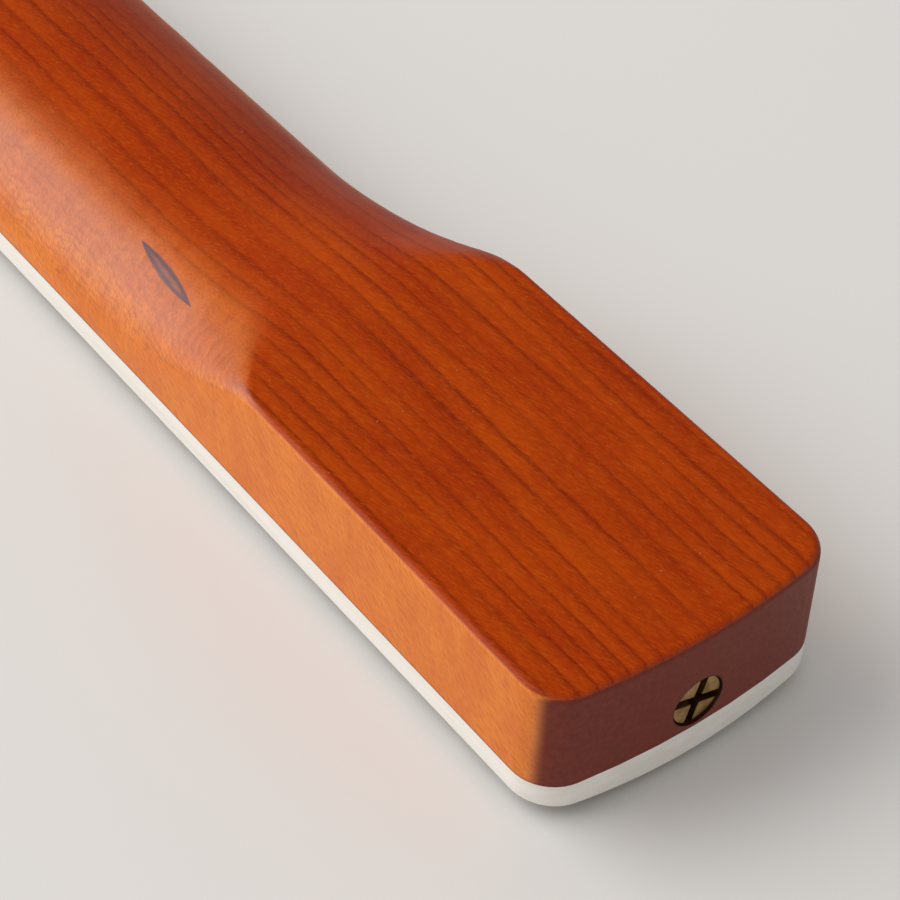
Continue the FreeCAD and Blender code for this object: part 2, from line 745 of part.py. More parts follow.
def fingerboard():
    """Radiused board with its binding, face markers and side markers."""
    low = "(Sizes.face_level - 1)"
    board_block = outline_block("board", "binding_width", low, "Sizes.glue_level")
    rim_block = outline_block("rim", None, low, "Sizes.glue_level")
    form = along_x("face_form", "Sizes.face_radius", "Sizes.board_length")

    discs = []
    for number, (x, y) in enumerate(marker_spots(), start=1):
        disc = add("Part::Cylinder", f"marker_{number}", Radius="Sizes.dot_diameter / 2",
                   Height="Sizes.dot_depth + 1", Placement__Base__z=low)
        disc.Placement.Base.x = x
        disc.Placement.Base.y = y
        discs.append(disc)
    all_discs = boolean("Part::MultiFuse", "marker_discs", *discs)
    subpart(boolean("Part::Common", "markers_part", all_discs, form), "face_markers")

    board = boolean("Part::Common", "board_faced", board_block, form)
    inlaid = boolean("Part::Cut", "board_inlaid", board, all_discs)
    slots = doc.addObject("Part::Feature", "fret_slots")
    slots.Shape = Part.makeCompound([fret_slot(n) for n in range(1, FRET_COUNT + 1)])
    subpart(boolean("Part::Cut", "board_part", inlaid, slots), "fingerboard")

    rim = boolean("Part::Cut", "rim_ring", boolean("Part::Common", "rim_faced", rim_block, form), board_block)
    rolled = rounded_edges("rim_rolled", rim, S["binding_roll"], outer_low_edge)
    pegs = []
    for number, x in enumerate(side_spots(), start=1):
        peg = add("Part::Cylinder", f"side_marker_{number}", Radius="Sizes.side_dot_diameter / 2",
                  Height="Sizes.side_dot_depth + 1", Placement__Base__z="Sizes.glue_level - 2")
        peg.Placement.Rotation = FreeCAD.Rotation(V(1, 0, 0), 90)
        peg.Placement.Base.x = x
        peg.Placement.Base.y = S["side_dot_depth"] - half_width(x)
        pegs.append(peg)
    pegs_fused = boolean("Part::MultiFuse", "side_pegs", *pegs)
    subpart(boolean("Part::Common", "side_markers_part", pegs_fused, rolled), "side_markers")
    subpart(boolean("Part::Cut", "binding_part", rolled, pegs_fused), "binding")


# ---------------------------------------------------------------- string nut


def string_nut():
    """Bone nut whose top follows the board's radius, with six string slots."""
    half = half_width(S["board_length"])
    top = S["face_radius"] + S["crown_height"] + S["nut_proud"]
    blank = add("Part::Box", "nut_blank", Length="Sizes.nut_thickness", Width="Sizes.nut_width",
                Height="Sizes.glue_level", Placement__Base__y="-Sizes.nut_width / 2")
    form = along_x("nut_form", "Sizes.face_radius + Sizes.face_level", "Sizes.nut_thickness + 2", "-1")
    domed = boolean("Part::Common", "nut_domed", blank, form)
    slots = []
    for number, gauge in enumerate(STRING_GAUGES):
        y = S["string_spread"] * (0.5 - number / (len(STRING_GAUGES) - 1))
        crest = S["axis_level"] - math.sqrt(top**2 - y**2)
        slot = add("Part::Box", f"string_slot_{number + 1}", Length="Sizes.nut_thickness + 2",
                   Placement__Base__x="-1")
        slot.Width = gauge
        slot.Height = crest + S["string_slot_depth"] + 1
        slot.Placement.Base.y = y - gauge / 2
        slot.Placement.Base.z = -1
        slots.append(slot)
    slotted = boolean("Part::Cut", "nut_part", domed, boolean("Part::MultiFuse", "string_slots", *slots))
    subpart(slotted, "string_nut", "Sizes.board_length")


# ---------------------------------------------------------------- build and write


def check_document():
    """Stop if any object failed or any piece is not a sound solid."""
    for obj in doc.Objects:
        failed = {"Invalid", "Error"} & set(obj.State)
        if failed:
            raise RuntimeError(f"{obj.Name} did not recompute: {obj.State}")
    for piece in SUBPARTS:
        if piece.Shape.isNull() or not piece.Shape.isValid() or not piece.Shape.Solids:
            raise RuntimeError(f"{piece.Label} has no sound shape")


def write_parts():
    """Write one STEP file for each piece."""
    os.makedirs("parts", exist_ok=True)
    for piece in SUBPARTS:
        piece.Shape.exportStep(f"parts/{piece.Label}.step")
        box = piece.Shape.BoundBox
        print(f"{piece.Label:20s} {len(piece.Shape.Solids):2d} solids {piece.Shape.Volume:10.1f} mm3"
              f"  x {box.XMin:8.2f} {box.XMax:8.2f}  y {box.YMin:7.2f} {box.YMax:7.2f}"
              f"  z {box.ZMin:6.2f} {box.ZMax:6.2f}")


neck()
truss_rod()
truss_rod_washer()
truss_rod_nut()
fingerboard()
for fret_number in range(1, FRET_COUNT + 1):
    fret(fret_number)
string_nut()
doc.recompute()
check_document()
write_parts()
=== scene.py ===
"""Studio scene of a bare electric guitar neck that lies face down on a pale floor."""

import logging
import math
from dataclasses import dataclass, field
from enum import Enum

import bpy
from mathutils import Matrix, Vector


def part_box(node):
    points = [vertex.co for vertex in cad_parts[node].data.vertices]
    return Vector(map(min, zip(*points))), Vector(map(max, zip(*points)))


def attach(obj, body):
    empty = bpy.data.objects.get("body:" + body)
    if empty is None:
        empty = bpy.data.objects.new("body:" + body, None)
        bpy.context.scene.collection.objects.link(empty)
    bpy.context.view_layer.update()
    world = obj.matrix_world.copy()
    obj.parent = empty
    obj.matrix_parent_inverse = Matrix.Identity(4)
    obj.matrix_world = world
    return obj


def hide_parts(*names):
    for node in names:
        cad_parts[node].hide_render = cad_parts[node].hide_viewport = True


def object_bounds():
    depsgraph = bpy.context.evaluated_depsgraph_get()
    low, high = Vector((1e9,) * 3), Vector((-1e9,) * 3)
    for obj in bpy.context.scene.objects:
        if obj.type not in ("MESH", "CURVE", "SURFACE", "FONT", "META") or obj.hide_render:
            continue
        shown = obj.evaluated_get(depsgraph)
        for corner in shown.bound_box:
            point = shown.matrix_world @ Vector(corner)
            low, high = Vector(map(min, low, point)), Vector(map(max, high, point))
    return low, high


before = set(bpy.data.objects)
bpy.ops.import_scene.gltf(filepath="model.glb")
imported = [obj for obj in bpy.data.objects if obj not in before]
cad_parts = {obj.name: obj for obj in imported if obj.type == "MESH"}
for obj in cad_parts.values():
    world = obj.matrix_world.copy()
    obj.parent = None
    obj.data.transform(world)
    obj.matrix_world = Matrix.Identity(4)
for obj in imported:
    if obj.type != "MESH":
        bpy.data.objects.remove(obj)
CAD_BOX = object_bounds()

LOG = logging.getLogger("guitar_neck")
MM = 0.001


def srgb(red: int, green: int, blue: int) -> tuple[float, float, float, float]:
    """Turn a 0 to 255 screen colour into the linear one that shaders take.

    Args:
        red: red share, 0 to 255.
        green: green share, 0 to 255.
        blue: blue share, 0 to 255.

    Returns:
        The linear colour with full alpha.
    """
    linear = []
    for share in (red, green, blue):
        level = share / 255
        low = level / 12.92
        linear.append(low if level <= 0.04045 else ((level + 0.055) / 1.055) ** 2.4)
    return (*linear, 1.0)


class Slot(Enum):
    """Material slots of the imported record."""

    MAPLE = "maple"
    FILLER_MAPLE = "filler_maple"
    ROSEWOOD = "rosewood"
    BINDING = "binding"
    FRET_WIRE = "fret_wire"
    PEARL = "pearl"
    SIDE_MARKER = "side_marker"
    BONE = "bone"
    BRASS = "brass"
    ROD_STEEL = "rod_steel"


class Body(Enum):
    """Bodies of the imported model."""

    NECK = "root"
    WASHER = "rod_washer"
    ROD_NUT = "rod_nut"


class Value:
    """One output of a shader node, with arithmetic that adds Math nodes."""

    def __init__(self, graph: "Graph", socket: bpy.types.NodeSocket) -> None:
        """Keep the graph and the output."""
        self.graph = graph
        self.socket = socket

    def _join(self, operation: str, first: "Value | float", second: "Value | float") -> "Value":
        """Result of one Math node on two inputs."""
        return self.graph.node(
            "ShaderNodeMath", {"operation": operation}, {0: first, 1: second})

    def __add__(self, other: "Value | float") -> "Value":
        """Self plus other."""
        return self._join("ADD", self, other)

    def __sub__(self, other: "Value | float") -> "Value":
        """Self minus other."""
        return self._join("SUBTRACT", self, other)

    def __rsub__(self, other: float) -> "Value":
        """Other minus self."""
        return self._join("SUBTRACT", other, self)

    def __mul__(self, other: "Value | float") -> "Value":
        """Self times other."""
        return self._join("MULTIPLY", self, other)

    def __truediv__(self, other: "Value | float") -> "Value":
        """Self over other."""
        return self._join("DIVIDE", self, other)

    def __pow__(self, other: float) -> "Value":
        """Self to a power."""
        return self._join("POWER", self, other)

    def __abs__(self) -> "Value":
        """Size without sign."""
        return self._join("ABSOLUTE", self, 0.0)

    def fract(self) -> "Value":
        """Part after the decimal point."""
        return self._join("FRACT", self, 0.0)

    def most(self, other: "Value | float") -> "Value":
        """Higher of the two."""
        return self._join("MAXIMUM", self, other)

    def ease(self, low: float, high: float) -> "Value":
        """Step smoothly from 0 to 1.

        Args:
            low: value that gives 0.
            high: value that gives 1; it may be below low.

        Returns:
            The eased share, kept between 0 and 1.
        """
        return self.graph.node(
            "ShaderNodeMapRange", {"interpolation_type": "SMOOTHSTEP"},
            {"Value": self, "From Min": low, "From Max": high})


class Graph:
    """Node tree of one material or world."""

    def __init__(self, tree: bpy.types.NodeTree) -> None:
        """Empty the tree."""
        self.tree = tree
        tree.nodes.clear()

    def node(self, kind: str, settings: dict | None = None, values: dict | None = None,
             output: int | str = 0) -> Value:
        """Add one node.

        Args:
            kind: the node's type.
            settings: attributes of the node; stops is a ramp's list of place and colour.
            values: numbers, tuples or links by socket name or number.
            output: name or number of the output that is wanted.

        Returns:
            That output.
        """
        made = self.tree.nodes.new(kind)
        for name, setting in (settings or {}).items():
            if name == "stops":
                self._set_stops(made.color_ramp, setting)
            else:
                setattr(made, name, setting)
        for name, value in (values or {}).items():
            if isinstance(value, Value):
                self.tree.links.new(value.socket, made.inputs[name])
            else:
                made.inputs[name].default_value = value
        return Value(self, made.outputs[output]) if made.outputs else Value(self, None)

    @staticmethod
    def _set_stops(ramp: bpy.types.ColorRamp, stops: list) -> None:
        """Give a ramp its stops.

        Args:
            ramp: a ramp with its two first stops.
            stops: place and colour or grey level of each, from low to high.
        """
        while len(ramp.elements) < len(stops):
            ramp.elements.new(1.0)
        for element, (place, colour) in zip(ramp.elements, stops):
            element.position = place
            grey = isinstance(colour, (int, float))
            element.color = (colour, colour, colour, 1.0) if grey else colour

    def place(self, output: str = "Object") -> Value:
        """Object coordinates in metres, or the object's own normal."""
        return self.node("ShaderNodeTexCoord", output=output)

    def parts(self, vector: Value) -> tuple[Value, Value, Value]:
        """Split a vector.

        Args:
            vector: the vector.

        Returns:
            Its X, Y and Z.
        """
        split = self.node("ShaderNodeSeparateXYZ", values={0: vector})
        outputs = split.socket.node.outputs
        return tuple(Value(self, outputs[number]) for number in range(3))

    def noise(self, period: tuple[float, float, float], detail: float = 2.0,
              shift: float = 0.0, turn: tuple[float, float, float] = (0.0, 0.0, 0.0)) -> Value:
        """Noise whose patches have a stated size.

        Args:
            period: size of a patch along X, Y and Z in millimetres.
            detail: octaves of finer noise.
            shift: moves the pattern, so that two of them differ.
            turn: turns the pattern about X, Y and Z, in degrees.

        Returns:
            Noise about 0.5.
        """
        turned = self.node("ShaderNodeMapping", {"vector_type": "TEXTURE"}, {
            "Vector": self.place(),
            "Rotation": tuple(math.radians(angle) for angle in turn),
            "Scale": tuple(length * MM for length in period)})
        return self.node("ShaderNodeTexNoise", {"noise_dimensions": "4D"}, {
            "Vector": turned, "W": shift, "Scale": 1.0, "Detail": detail})

    def mix(self, share: Value | float, first: Value | tuple, second: Value | tuple) -> Value:
        """Mix two colours, all of the first at a share of 0 and all of the second at 1."""
        return self.node(
            "ShaderNodeMix", {"data_type": "RGBA"}, {0: share, 6: first, 7: second}, output=2)

    def ramp(self, value: Value, stops: list) -> Value:
        """Send a number through a ramp of colours or grey levels."""
        return self.node("ShaderNodeValToRGB", {"stops": stops}, {0: value})

    def bump(self, height: Value, depth: float) -> Value:
        """Relief for the Normal socket, from a height of 0 to 1 and its depth in millimetres."""
        return self.node("ShaderNodeBump", None, {
            "Strength": 1.0, "Distance": depth * MM, "Height": height})

    def surface(self, values: dict) -> None:
        """Finish a material with its shader, whose sockets are given by name."""
        shader = self.node("ShaderNodeBsdfPrincipled", None, values)
        self.node("ShaderNodeOutputMaterial", None, {"Surface": shader})


def new_graph(name: str) -> tuple[bpy.types.Material, Graph]:
    """Start a material.

    Args:
        name: the material's name.

    Returns:
        The material and its empty graph.
    """
    material = bpy.data.materials.new(name)
    material.use_nodes = True
    return material, Graph(material.node_tree)


@dataclass(frozen=True)
class MapleZones:
    """Masks that tell the parts of the maple apart, each from 0 to 1."""

    rounded: Value
    side: Value
    wall: Value
    far: Value
    eased_edge: Value
    heel_end: Value
    sawn: Value
    flat: Value
    curved: Value


@dataclass(frozen=True)
class TintedMaple:
    """Amber tinted maple under satin lacquer, with its growth lines along the neck.

    Places and sizes are in millimetres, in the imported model's frame.
    """

    light: tuple = srgb(184, 68, 0)
    deep: tuple = srgb(162, 48, 0)
    line: tuple = srgb(104, 20, 2)
    side_light: tuple = srgb(230, 132, 34)
    side_deep: tuple = srgb(212, 106, 20)
    side_dash: tuple = srgb(186, 80, 16)
    end: tuple = srgb(120, 44, 24)
    end_deep: tuple = srgb(106, 35, 18)
    streak_core: tuple = srgb(170, 92, 52)
    streak_rim: tuple = srgb(66, 50, 66)
    # Painted shade inside the nut's bore.
    bore_shade: tuple = srgb(58, 24, 14)
    dust: tuple = srgb(222, 190, 170)
    line_pitch: float = 3.4
    arc_pitch: float = 0.7
    carve_from: float = -246.0
    heel_end_from: float = -300.0
    head_end_from: float = 306.0
    bore_height: float = 13.3
    bore_radius: float = 5.0
    seam_height: float = 7.9
    streak_from: tuple = (-219.2, 18.9, 22.6)
    streak_to: tuple = (-200.0, 15.6, 21.4)
    streak_width: float = 1.25
    roughness: float = 0.38
    specular: float = 0.05
    coat_roughness: float = 0.42
    relief: float = 0.02

    def zones(self, graph: Graph, x: Value) -> MapleZones:
        """Tell the wood's parts apart by place and by the direction of the surface.

        Args:
            graph: the material's graph.
            x: place along the neck.

        Returns:
            The masks.
        """
        nx, ny, nz = graph.parts(graph.place("Normal"))
        slope = 1 - nz * nz
        shaft = x.ease(self.carve_from, self.carve_from + 8)
        # Painted light: the lamp-facing slopes of the shaft take part of the side's orange, and
        # the orange reaches further up the near, lamp-facing flank (from ny 0.26) than up the
        # far flank (from 0.55). On the upright walls it is partly the tint's own tone.
        painted_light_flank = slope.ease(0.01, 0.16) * shaft * ny.ease(0.0, 0.25) * 0.55
        side = ny.ease(0.26, 0.88).most((0 - ny).ease(0.55, 0.97)).most(painted_light_flank)
        heel = x.ease(self.carve_from + 6, self.carve_from - 6)
        eased_edge = nz.ease(0.5, 0.78) * heel
        heel_end = (0 - nx).ease(0.34, 0.66) * (1 - eased_edge)
        heel_end = heel_end * x.ease(self.heel_end_from, self.heel_end_from - 8)
        head_end = nx.ease(0.6, 0.9) * x.ease(self.head_end_from, self.head_end_from + 6)
        return MapleZones(
            rounded=slope.ease(0.02, 0.3) * (1 - abs(ny).ease(0.93, 0.99)) * shaft,
            side=side * (1 - eased_edge),
            wall=abs(ny).ease(0.85, 1.0),
            far=(0 - ny).ease(0.0, 0.4),
            eased_edge=eased_edge,
            heel_end=heel_end,
            sawn=heel_end.most(head_end),
            flat=nz.ease(0.9, 1.0),
            curved=(1 - nz).ease(0.012, 0.13))

    def growth_lines(self, graph: Graph, y: Value, z: Value) -> Value:
        """Growth lines with a sharp side and a soft side.

        Args:
            graph: the material's graph.
            y: place across the neck.
            z: height.

        Returns:
            1 on a line, 0 between lines.
        """
        wander = (graph.noise((150, 15, 15), 1.0, 1.0) - 0.5) * 9.0
        shiver = (graph.noise((10, 5, 5), 4.0, 2.0) - 0.5) * 1.1
        rings = (y + z * 0.16 + wander + shiver) / self.line_pitch
        profile = graph.ramp(rings.fract(), [
            (0.0, 0.78), (0.07, 0.66), (0.2, 0.3), (0.45, 0.08), (0.84, 0.0), (0.93, 0.3),
            (1.0, 0.78)])
        fading = graph.noise((60, 4, 4), 1.0, 3.0).ease(0.34, 0.62)
        return profile * (fading * 0.65 + 0.35)

    def back_colour(self, graph: Graph, lines: Value, fleck: Value,
                    zones: MapleZones) -> Value:
        """Red amber of the back, where the grain is seen along its length, with painted shade on
        the far flank.

        Args:
            graph: the material's graph.
            lines: the growth lines.
            fleck: the pale flecks.
            zones: masks of the wood's parts.

        Returns:
            The colour.
        """
        cloud = graph.noise((26, 7, 7), 3.0, 4.0).ease(0.25, 0.75)
        colour = graph.mix(cloud, self.deep, self.light)
        colour = graph.mix(lines * (0.82 - zones.rounded * 0.35), colour, self.line)
        speck = graph.noise((1.5, 0.4, 0.4), 2.0, 14.0, (0, 0, 14)).ease(0.35, 0.65)
        colour = graph.mix(speck * 0.2, colour, self.line)
        colour = graph.mix(fleck * 0.24, colour, self.side_deep)
        # Painted shade: the far flank, turned away from the lamp, is darkened toward the line
        # colour.
        return graph.mix(zones.far * 0.3, colour, self.line)

    def side_colour(self, graph: Graph) -> Value:
        """Orange of the sides, partly the tint's own tone and partly painted light on the
        lamp-facing flank, with short dashes of grain.

        Args:
            graph: the material's graph.

        Returns:
            The colour.
        """
        curl = graph.noise((4.5, 20, 9), 1.0, 7.0, (0, 20, 0)).ease(0.3, 0.7)
        colour = graph.mix(curl * 0.5 + 0.25, self.side_deep, self.side_light)
        dash = graph.noise((1.5, 0.4, 0.17), 2.0, 8.0, (0, -32, 0)).ease(0.42, 0.66)
        return graph.mix(dash * 0.62, colour, self.side_dash)

    def end_colour(self, graph: Graph) -> Value:
        """Dark end grain of the sawn ends."""
        pith = graph.noise((1.2, 0.9, 0.9), 3.0, 10.0).ease(0.3, 0.7)
        return graph.mix(pith, self.end_deep, self.end)

    def carved_figure(self, graph: Graph, y: Value, z: Value,
                      zones: MapleZones) -> tuple[Value, Value]:
        """Arcs and ripples that the carve brings out on the rounded shaft.

        Args:
            graph: the material's graph.
            y: place across the neck.
            z: height.
            zones: masks of the wood's parts.

        Returns:
            Masks of the arcs and of the ripples.
        """
        sway = (graph.noise((7, 7, 7), 2.0, 6.0) - 0.5) * 3.0
        arcs = graph.ramp(((z + y * 0.3 + sway) / self.arc_pitch).fract(), [
            (0.0, 0.8), (0.3, 0.2), (0.75, 0.0), (1.0, 0.8)])
        broken = graph.noise((2.2, 2.2, 1.2), 2.0, 15.0).ease(0.3, 0.6)
        ripple = graph.noise((0.9, 5.0, 3.0), 1.0, 16.0, (0, 0, 20)).ease(0.35, 0.65)
        return arcs * zones.rounded * broken * 0.36, ripple * zones.rounded * 0.14

    def streak(self, graph: Graph) -> tuple[Value, Value]:
        """Spindle-shaped mineral streak in the shaft.

        Args:
            graph: the material's graph.

        Returns:
            Masks of the whole streak and of its pale core.
        """
        start, stop = Vector(self.streak_from), Vector(self.streak_to)
        middle = (start + stop) / 2
        along = (stop - start).normalized()
        half = (stop - start).length / 2
        offset = graph.node("ShaderNodeVectorMath", {"operation": "SUBTRACT"}, {
            0: graph.place(), 1: tuple(middle * MM)})
        run = graph.node("ShaderNodeVectorMath", {"operation": "DOT_PRODUCT"}, {
            0: offset, 1: tuple(along)}, output="Value")
        reach = graph.node("ShaderNodeVectorMath", {"operation": "LENGTH"}, {
            0: offset}, output="Value")
        across = (reach * reach - run * run).most(0.0) ** 0.5
        ragged = (graph.noise((2.5, 0.7, 0.7), 2.0, 9.0) - 0.5) * 0.3
        share = abs(run / (half * MM))
        room = (1 - share ** 1.9).most(0.001) * (self.streak_width * MM)
        filled = across / room + ragged
        whole = filled.ease(1.15, 0.75) * share.ease(1.0, 0.97)
        return whole, filled.ease(0.55, 0.1) * share.ease(0.8, 0.35)

    def bore(self, graph: Graph, x: Value, y: Value, z: Value) -> Value:
        """Wall of the nut's bore in the heel's end, painted dark as the shade inside the hole.

        Args:
            graph: the material's graph.
            x: place along the neck.
            y: place across the neck.
            z: height.

        Returns:
            The mask.
        """
        above = z - self.bore_height
        radius = (y * y + above * above) ** 0.5
        inside = radius.ease(self.bore_radius, self.bore_radius - 0.2)
        return inside * x.ease(self.heel_end_from, self.heel_end_from - 4)

    def material(self) -> bpy.types.Material:
        """Build the finish.

        Returns:
            The material.
        """
        material, graph = new_graph("tinted_maple")
        x, y, z = (axis / MM for axis in graph.parts(graph.place()))
        zones = self.zones(graph, x)
        lines = self.growth_lines(graph, y, z)
        fleck = graph.noise((1.3, 0.2, 0.3), 2.0, 5.0, (0, 0, 14)).ease(0.48, 0.7)
        arcs, ripple = self.carved_figure(graph, y, z, zones)
        whole, core = self.streak(graph)
        dust = graph.noise((0.5, 0.5, 0.5), 0.0, 11.0).ease(0.87, 0.89) * zones.flat
        # Thin dark line at the glue level above the binding: partly the glue joint, partly
        # painted contact shade between binding and wood.
        glue_line_and_shade = abs(z - self.seam_height).ease(0.3, 0.05)
        colour = self.back_colour(graph, lines, fleck, zones)
        for share, upper in (
                # Side orange: partly the tint's own tone, partly painted light on the
                # lamp-facing flank.
                (zones.side, self.side_colour(graph)),
                (arcs, self.line),
                (ripple, self.line),
                (zones.sawn, self.end_colour(graph)),
                # Painted shade: the bore's wall is painted dark.
                (self.bore(graph, x, y, z), self.bore_shade),
                (whole * 0.85, self.streak_rim),
                (core * 0.8, self.streak_core),
                (dust * 0.3, self.dust),
                # Glue joint and painted contact shade along the binding.
                (glue_line_and_shade * 0.6, self.line)):
            colour = graph.mix(share, colour, upper)
        dull = (zones.heel_end * 0.6).most(zones.wall * 0.45)
        dull = dull.most(zones.far * 0.9).most(zones.eased_edge * 0.8)
        relief = lines * 0.5 + fleck * 0.3 + graph.noise((7, 7, 7), 2.0, 12.0) * 0.9
        graph.surface({
            "Base Color": colour,
            "Roughness": graph.noise((14, 5, 5), 2.0, 13.0) * 0.1 + self.roughness,
            "Specular IOR Level": self.specular,
            "Coat Weight": zones.curved * (1 - dull),
            "Coat Roughness": self.coat_roughness,
            "Normal": graph.bump(relief, self.relief)})
        return material


@dataclass(frozen=True)
class PlainWood:
    """Straight-grained wood with pores, for the board and the filler strip."""

    name: str
    light: tuple
    deep: tuple
    pore: tuple
    pore_share: float
    roughness: float

    def material(self) -> bpy.types.Material:
        """Build the finish.

        Returns:
            The material.
        """
        material, graph = new_graph(self.name)
        grain = graph.noise((60, 1.6, 2.2), 4.0, 1.0).ease(0.3, 0.7)
        colour = graph.mix(grain, self.deep, self.light)
        band = graph.noise((120, 5, 5), 2.0, 2.0).ease(0.4, 0.62)
        colour = graph.mix(band * 0.45, colour, self.deep)
        pores = graph.noise((3.4, 0.16, 0.2), 1.0, 3.0).ease(0.62, 0.72)
        colour = graph.mix(pores * self.pore_share, colour, self.pore)
        graph.surface({
            "Base Color": colour,
            "Roughness": grain * 0.12 + self.roughness,
            "Normal": graph.bump(1 - pores, 0.05)})
        return material


@dataclass(frozen=True)
class PolishedSheet:
    """Bone or binding plastic: pale, faintly streaked and softly polished."""

    name: str
    light: tuple
    deep: tuple
    streak: tuple[float, float, float]
    roughness: float
    glow: float

    def material(self) -> bpy.types.Material:
        """Build the finish.

        Returns:
            The material.
        """
        material, graph = new_graph(self.name)
        streaks = graph.noise(self.streak, 3.0, 1.0).ease(0.34, 0.68)
        colour = graph.mix(streaks, self.deep, self.light)
        scuffs = graph.noise((1.5, 0.3, 0.3), 2.0, 2.0, (0, 12, 20)).ease(0.6, 0.75)
        colour = graph.mix(scuffs * 0.25, colour, self.deep)
        graph.surface({
            "Base Color": colour,
            "Roughness": scuffs * 0.12 + self.roughness,
            "Subsurface Weight": self.glow, "Subsurface Scale": 0.0015,
            "Coat Weight": 0.3, "Coat Roughness": 0.2,
            "Normal": graph.bump(streaks + scuffs, 0.01)})
        return material


@dataclass(frozen=True)
class Pearl:
    """Mother of pearl: pale clouds that drift from rose to green."""

    rose: tuple = srgb(236, 222, 222)
    green: tuple = srgb(206, 222, 212)
    pale: tuple = srgb(240, 238, 228)

    def material(self) -> bpy.types.Material:
        """Build the finish.

        Returns:
            The material.
        """
        material, graph = new_graph("pearl")
        drift = graph.noise((4.5, 2.0, 2.0), 3.0, 1.0, (0, 0, 25)).ease(0.32, 0.68)
        layer = graph.noise((1.6, 5.0, 2.0), 2.0, 2.0, (0, 0, 40)).ease(0.4, 0.66)
        colour = graph.mix(drift, self.rose, self.green)
        colour = graph.mix(layer * 0.7, colour, self.pale)
        graph.surface({
            "Base Color": colour,
            "Roughness": drift * 0.12 + 0.16,
            "Coat Weight": 0.6, "Coat Roughness": 0.08,
            "Normal": graph.bump(drift + layer, 0.02)})
        return material


@dataclass(frozen=True)
class DarkPlastic:
    """Dyed plastic rod of the side markers, sanded flush."""

    light: tuple = srgb(46, 43, 42)
    deep: tuple = srgb(22, 20, 20)

    def material(self) -> bpy.types.Material:
        """Build the finish.

        Returns:
            The material.
        """
        material, graph = new_graph("side_marker")
        sanded = graph.noise((0.6, 0.2, 0.2), 3.0, 1.0).ease(0.35, 0.7)
        graph.surface({
            "Base Color": graph.mix(sanded, self.deep, self.light),
            "Roughness": sanded * 0.2 + 0.35,
            "Normal": graph.bump(sanded, 0.01)})
        return material


@dataclass(frozen=True)
class WorkedMetal:
    """Metal with tool marks: turned about the rod's axis, or drawn along one axis."""

    name: str
    light: tuple
    deep: tuple
    marks: tuple[float, float, float]
    roughness: float
    turned_about: tuple[float, float] | None = None

    def tool_marks(self, graph: Graph) -> Value:
        """Fine marks of the tool.

        Args:
            graph: the material's graph.

        Returns:
            0 to 1 over the marks.
        """
        if self.turned_about is None:
            return graph.noise(self.marks, 2.0, 3.0)
        _, y, z = graph.parts(graph.place())
        across = y / MM - self.turned_about[0]
        above = z / MM - self.turned_about[1]
        radius = (across * across + above * above) ** 0.5
        uneven = graph.noise(self.marks, 2.0, 3.0) * 0.4
        return (radius / 0.22 + uneven).fract().ease(0.0, 0.9)

    def material(self) -> bpy.types.Material:
        """Build the finish.

        Returns:
            The material.
        """
        material, graph = new_graph(self.name)
        tarnish = graph.noise((3.0, 3.0, 3.0), 4.0, 1.0).ease(0.36, 0.68)
        marks = self.tool_marks(graph)
        colour = graph.mix(tarnish, self.deep, self.light)
        colour = graph.mix(marks * 0.18, colour, self.deep)
        graph.surface({
            "Base Color": colour, "Metallic": 1.0,
            "Roughness": (1 - tarnish) * 0.16 + self.roughness,
            "Normal": graph.bump(marks, 0.008)})
        return material


FINISHES = {
    Slot.MAPLE: TintedMaple(),
    Slot.FILLER_MAPLE: PlainWood(
        "filler_maple", srgb(226, 194, 146), srgb(202, 164, 112), srgb(160, 118, 72), 0.4, 0.5),
    Slot.ROSEWOOD: PlainWood(
        "rosewood", srgb(104, 66, 46), srgb(56, 32, 24), srgb(28, 16, 12), 0.85, 0.42),
    Slot.BINDING: PolishedSheet(
        "binding", srgb(242, 237, 230), srgb(235, 229, 219), (60, 4.0, 1.6), 0.34, 0.12),
    Slot.FRET_WIRE: WorkedMetal(
        "fret_wire", srgb(212, 210, 202), srgb(192, 189, 182), (0.2, 9, 0.2), 0.2),
    Slot.PEARL: Pearl(),
    Slot.SIDE_MARKER: DarkPlastic(),
    Slot.BONE: PolishedSheet(
        "bone", srgb(240, 230, 206), srgb(222, 206, 172), (1.2, 12, 1.2), 0.36, 0.1),
    Slot.BRASS: WorkedMetal(
        "brass", srgb(200, 160, 98), srgb(134, 98, 55), (1.5, 0.8, 0.8), 0.26, (0.0, 13.3)),
    Slot.ROD_STEEL: WorkedMetal(
        "rod_steel", srgb(168, 168, 172), srgb(112, 110, 112), (14, 0.4, 0.4), 0.34),
}


